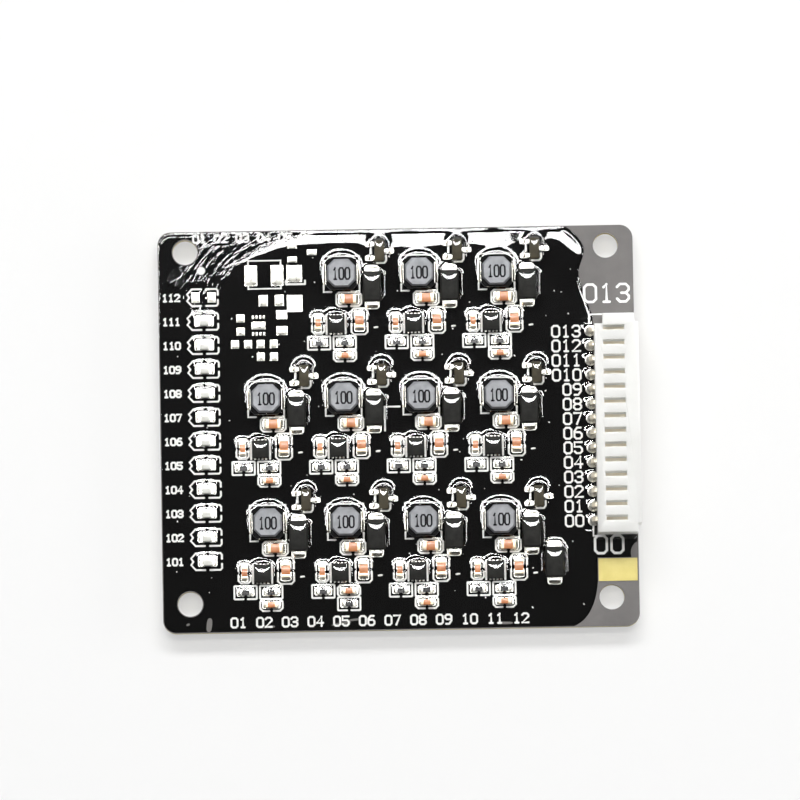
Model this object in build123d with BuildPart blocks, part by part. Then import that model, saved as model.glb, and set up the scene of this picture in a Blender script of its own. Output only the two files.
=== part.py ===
"""Active balancer board: eleven balancing channels, a column of status lights and a
side-entry header on one black printed board, under a clear coating."""

import os

from build123d import *

os.makedirs("parts", exist_ok=True)

# All sizes are millimetres. The origin is the middle of the mounting hole pattern, on the
# board's underside. +X points to the header, +Y to the north edge, +Z up.

# Printed board
board_length = 65.0
board_width = 55.0
board_thickness = 1.6
board_corner_radius = 1.8
mount_hole_diameter = 3.4
mount_hole_side_margin = 3.75
mount_hole_north_margin = 2.8
mount_hole_south_margin = 4.0

# Lands and solder
land_thickness = 0.06
pin_hole_diameter = 0.95
solder_foot_diameter = 1.6
solder_tip_diameter = 0.84
solder_rim = 0.08
solder_rise = 0.75

# Sides of the many-sided outline that stands for a small round that repeats
round_sides = 8

# Land kinds: distance between the two middles, length along it, width across it
inductor_land = (3.6, 1.7, 2.8)
diode_land = (4.1, 2.3, 2.1)
large_chip_land = (2.2, 1.2, 1.5)
small_chip_land = (1.8, 1.05, 1.1)
light_land = (2.2, 1.1, 1.4)
transistor_land = (2.7, 1.3, 0.75)
converter_pad_length = 1.9
converter_pad_width = 1.0

# Clear coating
coating_thickness = 0.14
coating_edge_inset = 0.12
coating_gap = 0.12

# Where the coating ends in the east: distances from the east edge and from the north or south edge
coating_north_stop = 9.2
coating_south_stop = 9.0
coating_north_rim = ((7.5, 1.6), (6.7, 3.3), (7.4, 6.0), (6.9, 9.1))
coating_south_rim = ((6.1, 3.6), (7.7, 0.9))
coating_header_skirt = 0.8
coating_east_retreat = 1.0

# Channel grid, measured from the board's middle
column_count = 4
row_count = 3
column_pitch = 10.6
row_pitch = 17.0
first_column_x = -18.0
first_row_y = 21.35
empty_cell = (0, 0)
swapped_cell = (2, 1)

# Places inside a channel, measured from the middle of its inductor
diode_offset = (4.15, -1.85)
transistor_offset = (5.25, 3.1)
chip_offset = (-0.85, -6.85)
output_capacitor_offset = (0.95, -3.45)
input_capacitor_offset = (2.35, -6.5)
bias_capacitor_offset = (-3.3, -6.75)
west_resistor_offset = (-3.2, -9.4)
east_resistor_offset = (0.3, -9.4)
south_chip_offset = (0.3, -11.15)

# Shielded power inductor
inductor_side = 4.2
inductor_height = 2.0
inductor_corner_cut = 0.5
core_base_thickness = 0.45
core_hub_diameter = 1.9
core_top_side = 3.85
core_top_corner_cut = 0.95
core_top_thickness = 0.55
core_top_bevel = 0.22
winding_gap = 0.05
winding_diameter = 3.1
inductor_plate = 0.1
inductor_terminal_width = 2.7
inductor_terminal_foot = 1.2
inductor_terminal_rise = 0.5

# Moulded rectifier diode
diode_length = 4.2
diode_width = 2.5
diode_height = 2.05
diode_taper = 7
diode_lead_width = 1.5
diode_lead_thickness = 0.2
diode_lead_reach = 5.0
diode_lead_foot = 1.1
diode_lead_gap = 0.05
extra_diode_place = (21.0, -18.65)

# Three-lead transistor
transistor_length = 2.9
transistor_width = 1.35
transistor_height = 1.0
transistor_standoff = 0.05
transistor_taper = 7
transistor_span = 2.5
transistor_lead_pitch = 1.9
transistor_lead_width = 0.42
transistor_lead_thickness = 0.13

# Leadless converter chip
converter_length = 2.4
converter_width = 2.3
converter_height = 0.75
converter_standoff = 0.1
converter_lead_count = 4
converter_lead_pitch = 0.5
converter_lead_width = 0.26
converter_lead_length = 0.45
converter_lead_reach = 2.75

# Chip capacitors and resistors
large_chip_length = 2.0
large_chip_width = 1.25
large_chip_height = 1.1
large_chip_band = 0.42
small_chip_length = 1.6
small_chip_width = 0.8
small_chip_height = 0.8
small_chip_band = 0.32
resistor_length = 1.6
resistor_width = 0.8
resistor_height = 0.42
resistor_band = 0.3
end_plating = 0.03

# Status lights
light_count = 12
light_pitch = 3.29
light_margin = 6.2
first_light_y = 18.48
light_length = 2.0
light_width = 1.25
light_height = 0.75
light_lens_length = 1.3
light_lens_taper = 8
light_base_height = 0.3
light_end_band = 0.4

# Side-entry header
pin_count = 14
pin_pitch = 2.0
pin_width = 0.5
pin_bend = 0.3
pin_height = 2.35
pin_tail = 1.2
pin_row_margin = 6.05
pin_front_setback = 1.6
header_end_margin = 1.95
header_height = 4.8
header_rear_gap = 0.5
header_overhang = 0.45
header_rear_wall = 1.15
header_end_wall = 1.2
header_top_wall = 0.75
header_floor = 0.75
header_notch_width = 1.4
header_rebate_depth = 0.4
header_rebate_height = 1.0
header_end_setback = 0.55
header_window_length = 2.9
header_window_width = 0.7
pin_hole_gap = 0.02

# Bare contact land at the south-east corner
gold_land_length = 5.3
gold_land_width = 3.1
gold_land_east_margin = 2.85
gold_land_south_margin = 7.75

# Places that follow from the sizes above
board_top = board_thickness
hole_spacing_x = board_length - 2 * mount_hole_side_margin
hole_spacing_y = board_width - mount_hole_north_margin - mount_hole_south_margin
board_center_y = (mount_hole_north_margin - mount_hole_south_margin) / 2
east_edge = board_length / 2
west_edge = -board_length / 2
north_edge = board_width / 2
south_edge = -board_width / 2
seat_height = board_top + land_thickness
pin_row_x = east_edge - pin_row_margin
header_rear_x = pin_row_x + header_rear_gap
header_front_x = east_edge + header_overhang
header_length = pin_pitch * (pin_count - 1) + 2 * header_end_margin
light_x = west_edge + light_margin
gold_place = (east_edge - gold_land_east_margin, south_edge + gold_land_south_margin)


def level(height):
    """Plane parallel to the board at a height, centred on the board's outline."""
    return Plane((0, board_center_y, height))


def channel_origins():
    """Middle of each populated channel's inductor, row by row from the north."""
    origins = []
    for row in range(row_count):
        for column in range(column_count):
            if (row, column) != empty_cell:
                origins.append((first_column_x + column * column_pitch, first_row_y - row * row_pitch))
    return origins


def places(offset, origins):
    """The same offset in every channel."""
    return [(x + offset[0], y + offset[1]) for x, y in origins]


channels = channel_origins()
empty_origin = (
    first_column_x + empty_cell[1] * column_pitch,
    first_row_y - empty_cell[0] * row_pitch,
)
swapped_origin = (
    first_column_x + swapped_cell[1] * column_pitch,
    first_row_y - swapped_cell[0] * row_pitch,
)
plain_channels = [origin for origin in channels if origin != swapped_origin]

inductor_places = channels
diode_places = places(diode_offset, channels) + [extra_diode_place]
transistor_places = places(transistor_offset, channels)
converter_places = places(chip_offset, channels)
flat_large_places = places(output_capacitor_offset, channels)
upright_large_places = places(input_capacitor_offset, channels)
upright_small_places = places(bias_capacitor_offset, channels)
flat_small_places = places(south_chip_offset, plain_channels) + places(east_resistor_offset, [swapped_origin])
resistor_places = (
    places(west_resistor_offset, channels)
    + places(east_resistor_offset, plain_channels)
    + places(south_chip_offset, [swapped_origin])
)
light_places = [(light_x, first_light_y - n * light_pitch) for n in range(1, light_count)]
empty_light_place = (light_x, first_light_y)
pin_places = [(pin_row_x, (n - (pin_count - 1) / 2) * pin_pitch) for n in range(pin_count)]


def export(piece, name):
    piece.part.label = name
    export_step(piece.part, f"parts/{name}.step")


def build_board():
    with BuildPart() as board:
        with BuildSketch(level(0)):
            RectangleRounded(board_length, board_width, board_corner_radius)
            with Locations((0, -board_center_y)):
                with GridLocations(hole_spacing_x, hole_spacing_y, 2, 2):
                    Circle(mount_hole_diameter / 2, mode=Mode.SUBTRACT)
            with Locations(*pin_places):
                RegularPolygon(pin_hole_diameter / 2, round_sides, mode=Mode.SUBTRACT)
        extrude(amount=board_thickness)
    export(board, "circuit_board")


def both_sides(centers, gap, upright=False):
    """Two places for each centre, half the gap to either side of it."""
    step = (0, gap / 2) if upright else (gap / 2, 0)
    return places(step, centers) + places((-step[0], -step[1]), centers)


def transistor_lead_places(centers, reach):
    """Two leads on the west side of each transistor."""
    return both_sides(places((-reach / 2, 0), centers), transistor_lead_pitch, upright=True)


def land_pairs(centers, land, upright=False):
    """Both lands of two-ended parts, in the sketch that is open."""
    spacing, length, width = land
    with Locations(*both_sides(centers, spacing, upright)):
        if upright:
            Rectangle(width, length)
        else:
            Rectangle(length, width)


def build_lands():
    """Bare tinned lands of the empty channel and of the empty light."""
    origin = [empty_origin]
    transistor = places(transistor_offset, origin)
    small_flat = (
        places(west_resistor_offset, origin)
        + places(east_resistor_offset, origin)
        + places(south_chip_offset, origin)
    )
    with BuildPart() as lands:
        with BuildSketch(level(board_top)):
            land_pairs(origin, inductor_land)
            land_pairs(places(diode_offset, origin), diode_land, upright=True)
            land_pairs(places(output_capacitor_offset, origin), large_chip_land)
            land_pairs(places(input_capacitor_offset, origin), large_chip_land, upright=True)
            land_pairs(places(bias_capacitor_offset, origin), small_chip_land, upright=True)
            land_pairs(small_flat, small_chip_land)
            land_pairs([empty_light_place], light_land)
            spacing, length, width = transistor_land
            west_pair = transistor_lead_places(transistor, spacing)
            with Locations(*west_pair, *places((spacing / 2, 0), transistor)):
                Rectangle(length, width)
            with Locations(*places(chip_offset, origin)):
                Rectangle(converter_pad_length, converter_pad_width)
                with GridLocations(
                    converter_lead_pitch, converter_lead_reach - converter_lead_length, converter_lead_count, 2
                ):
                    Rectangle(converter_lead_width, converter_lead_length)
        extrude(amount=land_thickness)
    export(lands, "tinned_lands")


def coating_outline():
    """Outline of the coated area, which stops short of the east corners."""
    north = north_edge - coating_edge_inset
    south = south_edge + coating_edge_inset
    west = west_edge + coating_edge_inset
    east = east_edge - coating_edge_inset
    radius = board_corner_radius - coating_edge_inset
    header_half = header_length / 2 + coating_gap
    gold_x = east_edge - gold_land_east_margin - gold_land_length / 2 - coating_gap
    gold_y = south_edge + gold_land_south_margin + gold_land_width / 2 + coating_gap
    north_tail = (east_edge - coating_north_stop, north)
    south_tail = (east_edge - coating_south_stop, south)
    north_rim = [(east_edge - x, north_edge - y) for x, y in coating_north_rim]
    south_rim = [(east_edge - x, south_edge + y) for x, y in coating_south_rim]
    skirt_y = -header_half - coating_header_skirt
    retreat_x = east_edge - coating_east_retreat
    with BuildLine() as outline:
        Line(south_tail, (west + radius, south))
        RadiusArc((west + radius, south), (west, south + radius), radius)
        Line((west, south + radius), (west, north - radius))
        RadiusArc((west, north - radius), (west + radius, north), radius)
        Line((west + radius, north), north_tail)
        Spline(north_tail, *north_rim, (header_rear_x - coating_gap, header_half))
        Polyline(
            (header_rear_x - coating_gap, header_half),
            (header_rear_x - coating_gap, -header_half),
            (east, -header_half),
            (east, skirt_y),
        )
        Spline((east, skirt_y), (retreat_x, (skirt_y + gold_y) / 2), (retreat_x, gold_y))
        Polyline((retreat_x, gold_y), (gold_x, gold_y), (gold_x, gold_y - gold_land_width))
        Spline((gold_x, gold_y - gold_land_width), *south_rim, south_tail)
    return outline.line


def clearing(centers, length, width):
    """Rectangular clearing in the film at each place."""
    with Locations(*centers):
        Rectangle(length + 2 * coating_gap, width + 2 * coating_gap, mode=Mode.SUBTRACT)


def between(first, second):
    """Middle of two places."""
    return ((first[0] + second[0]) / 2, (first[1] + second[1]) / 2)


def build_coating():
    """Thin clear film round the parts and their lands."""
    origins = channels + [empty_origin]
    inductor_reach = inductor_land[0] + inductor_land[1]
    diode_reach = diode_land[0] + diode_land[1]
    large_reach = large_chip_land[0] + large_chip_land[1]
    small_reach = small_chip_land[0] + small_chip_land[1]
    light_reach = light_land[0] + light_land[1]
    transistor_reach = transistor_land[0] + transistor_land[1]
    upper_north = inductor_side / 2
    upper_south = output_capacitor_offset[1] - large_chip_land[2] / 2
    upper_middle = (0, (upper_north + upper_south) / 2)
    lower_north = input_capacitor_offset[1] + large_reach / 2
    lower_south = west_resistor_offset[1] - small_chip_land[2] / 2
    lower_west = west_resistor_offset[0] - small_reach / 2
    lower_east = input_capacitor_offset[0] + large_chip_land[2] / 2
    lower_middle = between((lower_west, lower_south), (lower_east, lower_north))
    pin_reach = pin_pitch * (pin_count - 1) + solder_foot_diameter
    with BuildPart() as coating:
        with BuildSketch(level(board_top)):
            add(coating_outline())
            make_face()
            clearing(places(upper_middle, origins), inductor_reach, upper_north - upper_south)
            clearing(places(diode_offset, origins) + [extra_diode_place], diode_land[2], diode_reach)
            clearing(places(transistor_offset, origins), transistor_reach, transistor_length)
            clearing(places(lower_middle, origins), lower_east - lower_west, lower_north - lower_south)
            clearing(places(south_chip_offset, origins), small_reach, small_chip_land[2])
            clearing([empty_light_place] + light_places, light_reach, light_land[2])
            clearing([(pin_row_x, 0)], solder_foot_diameter, pin_reach)
            clearing([gold_place], gold_land_length, gold_land_width)
            with Locations((0, -board_center_y)):
                with GridLocations(hole_spacing_x, hole_spacing_y, 2, 2):
                    RegularPolygon(mount_hole_diameter / 2 + coating_gap, round_sides, False, mode=Mode.SUBTRACT)
        extrude(amount=coating_thickness)
    export(coating, "clear_coating")


def build_gold_land():
    with BuildPart() as land:
        with BuildSketch(level(board_top)):
            with Locations(gold_place):
                Rectangle(gold_land_length, gold_land_width)
        extrude(amount=land_thickness)
    export(land, "gold_land")


def export_each(shape, spots, height, stem):
    """One node for each place, numbered from 01."""
    for number, spot in enumerate(spots, 1):
        with BuildPart(level(height)) as piece:
            with Locations(spot):
                add(shape)
        export(piece, f"{stem}_{number:02d}")


def export_group(shapes, height, name):
    """One node of like solids: pairs of a shape and its places."""
    with BuildPart(level(height)) as group:
        for shape, spots in shapes:
            with Locations(*spots):
                add(shape)
    export(group, name)


def build_inductors():
    """Drum core with a winding on its hub, a resin shield round it and two plated feet."""
    base_height = inductor_plate
    shoulder_height = base_height + core_base_thickness
    top_height = inductor_height - core_top_thickness
    with BuildPart() as core:
        with BuildSketch(Plane.XY.offset(base_height)) as base:
            Rectangle(inductor_side, inductor_side)
            chamfer(base.vertices(), inductor_corner_cut)
        extrude(amount=core_base_thickness)
        with BuildSketch(Plane.XY.offset(shoulder_height)):
            RegularPolygon(core_hub_diameter / 2, round_sides)
        extrude(amount=top_height - shoulder_height)
        with BuildSketch(Plane.XY.offset(top_height)) as top:
            Rectangle(core_top_side, core_top_side)
            chamfer(top.vertices(), core_top_corner_cut)
        extrude(amount=core_top_thickness)
        chamfer(core.faces().sort_by(Axis.Z)[-1].edges(), core_top_bevel)
    with BuildPart() as shield:
        with BuildSketch(Plane.XY.offset(shoulder_height)) as wall:
            Rectangle(inductor_side, inductor_side)
            chamfer(wall.vertices(), inductor_corner_cut)
            RegularPolygon(winding_diameter / 2 + winding_gap, round_sides, mode=Mode.SUBTRACT)
        extrude(amount=top_height - shoulder_height)
    with BuildPart() as winding:
        with BuildSketch(Plane.XY.offset(shoulder_height + winding_gap)):
            RegularPolygon(winding_diameter / 2, round_sides)
            RegularPolygon(core_hub_diameter / 2 + winding_gap, round_sides, mode=Mode.SUBTRACT)
        extrude(amount=top_height - shoulder_height - 2 * winding_gap)
    with BuildPart() as foot:
        with BuildSketch(Plane.XY):
            Rectangle(inductor_terminal_foot, inductor_terminal_width, align=(Align.MIN, Align.CENTER))
        extrude(amount=inductor_plate)
        with BuildSketch(Plane.XY):
            Rectangle(inductor_plate, inductor_terminal_width, align=(Align.MAX, Align.CENTER))
        extrude(amount=inductor_terminal_rise)
    foot_x = inductor_side / 2
    export_each(core.part, inductor_places, seat_height, "inductor_core")
    export_group([(shield.part, inductor_places)], seat_height, "inductor_shields")
    export_group([(winding.part, inductor_places)], seat_height, "inductor_windings")
    west_feet = places((-foot_x, 0), inductor_places)
    east_feet = places((foot_x, 0), inductor_places)
    east_foot = foot.part.rotate(Axis.Z, 180)
    export_group([(foot.part, west_feet), (east_foot, east_feet)], seat_height, "inductor_terminals")


def tapered_body(length, width, height, underside, taper):
    """Moulded block whose four sides lean in from a parting line at half its height."""
    middle = underside + height / 2
    with BuildPart() as body:
        with BuildSketch(Plane.XY.offset(middle)):
            Rectangle(width, length)
        extrude(amount=height / 2, taper=taper)
        with BuildSketch(Plane.XY.offset(middle)):
            Rectangle(width, length)
        extrude(amount=-height / 2, taper=taper)
    return body.part


def bent_lead(corners, width, thickness):
    """Flat strip bent along a line of corners in the XZ plane."""
    with BuildPart() as lead:
        with BuildSketch(Plane.XZ):
            with BuildLine():
                Polyline(*corners)
            trace(line_width=thickness)
        extrude(amount=width / 2, both=True)
    return lead.part


def build_diodes():
    """Moulded body with two leads folded down and under it."""
    standoff = diode_lead_thickness + diode_lead_gap
    body_height = diode_height - standoff
    body = tapered_body(diode_length, diode_width, body_height, standoff, diode_taper)
    exit_height = standoff + body_height / 2
    foot_height = diode_lead_thickness / 2
    fold_x = (diode_lead_reach - diode_lead_thickness) / 2
    lead = bent_lead(
        [
            (diode_length / 2, exit_height),
            (fold_x, exit_height),
            (fold_x, foot_height),
            (fold_x - diode_lead_foot, foot_height),
        ],
        diode_lead_width,
        diode_lead_thickness,
    )
    north_lead = lead.rotate(Axis.Z, 90)
    south_lead = lead.rotate(Axis.Z, -90)
    export_each(body, diode_places, seat_height, "diode")
    export_group([(north_lead, diode_places), (south_lead, diode_places)], seat_height, "diode_leads")


def build_transistors():
    """Small moulded body with two gull-wing leads to the west and one to the east."""
    body_height = transistor_height - transistor_standoff
    body = tapered_body(
        transistor_length, transistor_width, body_height, transistor_standoff, transistor_taper
    )
    exit_height = transistor_standoff + body_height / 2
    foot_height = transistor_lead_thickness / 2
    knee_x = (transistor_width / 2 + transistor_span / 2) / 2
    lead = bent_lead(
        [
            (transistor_width / 2, exit_height),
            (knee_x, exit_height),
            (knee_x, foot_height),
            (transistor_span / 2, foot_height),
        ],
        transistor_lead_width,
        transistor_lead_thickness,
    )
    west_lead = lead.rotate(Axis.Z, 180)
    west_spots = both_sides(transistor_places, transistor_lead_pitch, upright=True)
    export_group([(body, transistor_places)], seat_height, "transistors")
    leads = [(west_lead, west_spots), (lead, transistor_places)]
    export_group(leads, seat_height, "transistor_leads")


def build_converters():
    """Flat moulded chip on two rows of short lead ends."""
    with BuildPart() as body:
        with BuildSketch(Plane.XY.offset(converter_standoff)):
            Rectangle(converter_width, converter_length)
        extrude(amount=converter_height - converter_standoff)
    with BuildPart() as leads:
        with BuildSketch(Plane.XY):
            with GridLocations(
                converter_lead_pitch, converter_lead_reach - converter_lead_length, converter_lead_count, 2
            ):
                Rectangle(converter_lead_width, converter_lead_length)
        extrude(amount=converter_standoff)
    export_each(body.part, converter_places, seat_height, "converter_chip")
    export_group([(leads.part, converter_places)], seat_height, "converter_leads")


def chip_pieces(length, width, height, band):
    """Body and end band of a two-ended chip part that lies along X."""
    with BuildPart() as body:
        with BuildSketch(Plane.XY.offset(end_plating)):
            Rectangle(length - 2 * band, width - 2 * end_plating)
        extrude(amount=height - 2 * end_plating)
    with BuildPart() as end:
        with BuildSketch():
            Rectangle(band, width)
        extrude(amount=height)
    return body.part, end.part, length - band


def build_chip_parts():
    """Ceramic capacitors and resistors between metal end bands."""
    large_body, large_end, large_gap = chip_pieces(
        large_chip_length, large_chip_width, large_chip_height, large_chip_band
    )
    small_body, small_end, small_gap = chip_pieces(
        small_chip_length, small_chip_width, small_chip_height, small_chip_band
    )
    resistor_body, resistor_end, resistor_gap = chip_pieces(
        resistor_length, resistor_width, resistor_height, resistor_band
    )
    upright_large_body = large_body.rotate(Axis.Z, 90)
    upright_large_end = large_end.rotate(Axis.Z, 90)
    upright_small_body = small_body.rotate(Axis.Z, 90)
    upright_small_end = small_end.rotate(Axis.Z, 90)
    large = [(large_body, flat_large_places), (upright_large_body, upright_large_places)]
    small = [(small_body, flat_small_places), (upright_small_body, upright_small_places)]
    capacitor_ends = [
        (large_end, both_sides(flat_large_places, large_gap)),
        (upright_large_end, both_sides(upright_large_places, large_gap, upright=True)),
        (small_end, both_sides(flat_small_places, small_gap)),
        (upright_small_end, both_sides(upright_small_places, small_gap, upright=True)),
    ]
    export_group(large, seat_height, "large_capacitors")
    export_group(small, seat_height, "small_capacitors")
    export_group(capacitor_ends, seat_height, "capacitor_ends")
    export_group([(resistor_body, resistor_places)], seat_height, "chip_resistors")
    resistor_ends = both_sides(resistor_places, resistor_gap)
    export_group([(resistor_end, resistor_ends)], seat_height, "resistor_ends")


def build_lights():
    """Status light: flat base with metal ends, and a lens block with sloping ends on it."""
    with BuildPart() as base:
        with BuildSketch():
            Rectangle(light_length - 2 * light_end_band, light_width)
        extrude(amount=light_base_height)
    with BuildPart() as lens:
        with BuildSketch(Plane.XY.offset(light_base_height)):
            Rectangle(light_lens_length, light_width)
        extrude(amount=light_height - light_base_height, taper=light_lens_taper)
    with BuildPart() as end:
        with BuildSketch():
            Rectangle(light_end_band, light_width)
        extrude(amount=light_base_height)
    end_gap = light_length - light_end_band
    export_group([(base.part, light_places)], seat_height, "light_bases")
    export_group([(lens.part, light_places)], seat_height, "light_lenses")
    export_group([(end.part, both_sides(light_places, end_gap))], seat_height, "light_ends")


def build_header():
    """White shrouded header, open to the east, with a window over each pin."""
    depth = header_front_x - header_rear_x
    floor_height = board_top
    cavity_height = header_height - header_top_wall - header_floor
    cavity_length = header_length - 2 * header_end_wall
    middle_x = (header_front_x + header_rear_x) / 2
    end_x = header_front_x - header_end_setback / 2
    end_y = header_length / 2 - header_end_wall / 2
    with BuildPart() as housing:
        with BuildSketch(level(floor_height)):
            with Locations((middle_x, 0)):
                Rectangle(depth, header_length)
        extrude(amount=header_height)
        with BuildSketch(level(floor_height + header_floor)):
            with Locations((header_rear_x + header_rear_wall, 0)):
                Rectangle(depth, cavity_length, align=(Align.MIN, Align.CENTER))
        extrude(amount=cavity_height, mode=Mode.SUBTRACT)
        with BuildSketch(level(floor_height)):
            with Locations((end_x, end_y), (end_x, -end_y)):
                Rectangle(header_end_setback, header_end_wall)
            with Locations((header_rear_x, header_length / 2)):
                Rectangle(header_rear_wall, header_notch_width, align=(Align.MIN, Align.MAX))
        extrude(amount=header_height, mode=Mode.SUBTRACT)
        with BuildSketch(level(floor_height)):
            with Locations((header_rear_x, 0)):
                Rectangle(header_rebate_depth, header_length, align=(Align.MIN, Align.CENTER))
        extrude(amount=header_rebate_height, mode=Mode.SUBTRACT)
        with BuildSketch(level(floor_height + header_height)):
            window_x = header_rear_x + header_rear_wall
            with Locations(*[(window_x, y) for x, y in pin_places]):
                Rectangle(header_window_length, header_window_width, align=(Align.MIN, Align.CENTER))
        extrude(amount=-header_top_wall, mode=Mode.SUBTRACT)
        with BuildSketch(Plane.YZ.offset(header_rear_x)):
            with Locations(*[(y + board_center_y, floor_height + pin_height) for x, y in pin_places]):
                Rectangle(pin_width + 2 * pin_hole_gap, pin_width + 2 * pin_hole_gap)
        extrude(amount=header_rear_wall, mode=Mode.SUBTRACT)
    export(housing, "connector_housing")


def build_pins():
    """Square pin: straight through the housing's rear wall, then down through the board."""
    tip_x = header_front_x - pin_front_setback - pin_row_x
    height = board_top + pin_height
    with BuildPart() as pin:
        with BuildLine(Plane.XZ):
            Polyline((tip_x, height), (pin_bend, height), (0, height - pin_bend), (0, -pin_tail))
        with BuildSketch(Plane.YZ.offset(tip_x)):
            with Locations((0, height)):
                Rectangle(pin_width, pin_width)
        sweep(transition=Transition.RIGHT)
    export_group([(pin.part, pin_places)], 0, "connector_pins")


def build_solder():
    """Solder that fills each hole and stands as a cone on both faces, round its pin."""
    drop = solder_rise - solder_rim
    lean = (solder_foot_diameter - solder_tip_diameter) / 2
    with BuildPart() as joint:
        with BuildSketch(Plane.XY):
            RegularPolygon(pin_hole_diameter / 2, round_sides)
        extrude(amount=board_top)
        for height, rise, tip in ((board_top, solder_rise, -1), (0, -solder_rise, 0)):
            with BuildSketch(Plane.XY.offset(height)):
                RegularPolygon(solder_foot_diameter / 2, round_sides)
            extrude(amount=rise)
            tip_face = joint.faces().sort_by(Axis.Z)[tip]
            chamfer(tip_face.edges(), length=lean, length2=drop, reference=tip_face)
        with BuildSketch(Plane.XY.offset(-pin_tail)):
            Rectangle(pin_width, pin_width)
        extrude(amount=pin_tail + board_top + pin_height, mode=Mode.SUBTRACT)
    export_group([(joint.part, pin_places)], 0, "solder_joints")


build_board()
build_lands()
build_gold_land()
build_coating()
build_inductors()
build_diodes()
build_transistors()
build_converters()
build_chip_parts()
build_lights()
build_header()
build_pins()
build_solder()
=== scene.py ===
"""Active balancer board: print, solder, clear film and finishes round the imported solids."""

import math
import random
from functools import partial

import bmesh
import bpy
import numpy as np
from mathutils import Matrix, Vector, noise


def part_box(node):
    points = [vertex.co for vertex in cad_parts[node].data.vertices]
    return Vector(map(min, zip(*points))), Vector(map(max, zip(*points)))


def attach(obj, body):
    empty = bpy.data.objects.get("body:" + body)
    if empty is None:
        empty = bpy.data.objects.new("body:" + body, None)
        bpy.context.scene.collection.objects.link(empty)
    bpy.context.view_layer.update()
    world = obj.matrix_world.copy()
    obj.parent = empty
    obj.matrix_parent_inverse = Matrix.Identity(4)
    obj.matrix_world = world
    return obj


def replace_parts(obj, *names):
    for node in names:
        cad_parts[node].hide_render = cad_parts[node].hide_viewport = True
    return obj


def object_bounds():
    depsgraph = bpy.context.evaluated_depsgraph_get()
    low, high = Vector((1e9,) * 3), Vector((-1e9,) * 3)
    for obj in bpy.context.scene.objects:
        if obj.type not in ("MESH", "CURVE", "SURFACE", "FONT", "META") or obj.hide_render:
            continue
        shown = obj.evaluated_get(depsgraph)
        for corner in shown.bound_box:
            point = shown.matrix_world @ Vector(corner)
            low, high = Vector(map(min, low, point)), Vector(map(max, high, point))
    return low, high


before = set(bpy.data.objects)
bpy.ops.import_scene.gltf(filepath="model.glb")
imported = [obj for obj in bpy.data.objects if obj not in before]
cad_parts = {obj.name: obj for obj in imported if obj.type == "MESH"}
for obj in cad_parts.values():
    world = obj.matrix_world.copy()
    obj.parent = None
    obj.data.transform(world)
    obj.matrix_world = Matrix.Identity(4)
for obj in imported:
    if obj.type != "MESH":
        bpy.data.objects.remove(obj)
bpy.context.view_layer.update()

MM = 0.001
MERGE_DISTANCE = 1e-7

# Edges of the softened copies: coplanar faces join, corners are rounded, and steep ones stay sharp
JOIN_ANGLE = math.radians(1)
ROUND_ANGLE = math.radians(35)
SHARP_ANGLE = math.radians(50)

# Heights above the board's top face, in metres
MASK_LIFT = 0.010 * MM
INK_LIFT = 0.022 * MM
INK_LAYER = 0.0006 * MM
INK_LAYERS = 11
INK_DOT_LIFT = 0.008 * MM
LAND_HEIGHT = 0.06 * MM
BARE_LAND_COVER = 0.49
BARE_LAND_RISE = 0.16
JOINED_LANDS = 1.4 * MM
FILM_HEIGHT = 0.14 * MM

# Relief of the finishes
GRAIN_RELIEF = 0.02 * MM
RIPPLE_RELIEF = 0.006 * MM
COAT_ROUGHNESS = 0.06

# Print: widths of the ink and heights of the digits
INK_WIDTH = 0.27 * MM
LABEL_INK_WIDTH = 0.29 * MM
SIGN_INK_WIDTH = 0.36 * MM
MARKING_INK_WIDTH = 0.24 * MM
OUTLINE_GAP = 0.6 * MM
LIGHT_LABEL_SIZE = 0.9 * MM
PIN_LABEL_SIZE = 1.5 * MM
SIGN_SIZE = 2.4 * MM
SOUTH_ROW_SIZE = 1.25 * MM
NORTH_ROW_SIZE = 1.05 * MM
MARKING_SIZE = 1.55 * MM
MARKING_SQUEEZE = 0.58
MARKING_LIFT = 0.012 * MM
SIGHTING_DOT = 1.15 * MM
SOUTH_ROW = "01 02 03 04 05 06 07 08 09 10 11 12"
NORTH_ROW = "01 02 03 04 05 06"

# Dust: its seed, how many specks and their size
DUST_SEED = 8
DUST_COUNT = 150
DUST_SIZE = (0.03 * MM, 0.085 * MM)

# Mounting holes, left open by the mask and the film
HOLE_SPACING = (57.5 * MM, 48.2 * MM)
HOLE_CLEARANCE = 1.82 * MM

# Film: its grid, the width of its thin rim, its least height and the seed of its unevenness
FILM_STEP = 0.152 * MM
FILM_RIM = 0.5 * MM
FILM_LEAST = 0.03 * MM
FILM_OVER_PARTS = 0.05 * MM
FILM_SEED = 4
PIN_STRIP_MARGIN = 0.3 * MM

# Unevenness of the film: everywhere, near the north edge, and how far that reaches
FILM_SWELL = 0.008 * MM
NORTH_SWELL = 0.03 * MM
NORTH_SWELL_REACH = 2.5 * MM

# Glare along the north edge: x, depth of its lower border and width of the sloping band, in millimetres
GLARE_BORDER = (
    (-24.5, 6.2, 0.0), (-23.6, 5.7, 0.35), (-21.9, 4.9, 0.8), (-19.9, 3.8, 1.0), (-17.9, 3.0, 1.0),
    (-16.5, 2.4, 1.1), (-14.7, 2.0, 1.4), (-11.9, 1.9, 1.9), (-8.9, 1.7, 1.7), (-5.0, 2.0, 2.0),
    (-2.5, 2.3, 2.3), (5.7, 2.4, 2.4), (10.0, 2.1, 2.1), (14.5, 2.7, 2.7), (18.0, 1.9, 1.9),
    (20.0, 1.1, 1.1), (22.1, 1.9, 1.9), (24.2, 3.4, 1.6), (25.2, 4.0, 1.2),
)
GLARE_SLOPE = 0.05
GLARE_SLOPE_CHANGE = 0.55
GLARE_RUNOUT = 7 * MM
GLARE_WANDER = 0.25 * MM

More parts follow.
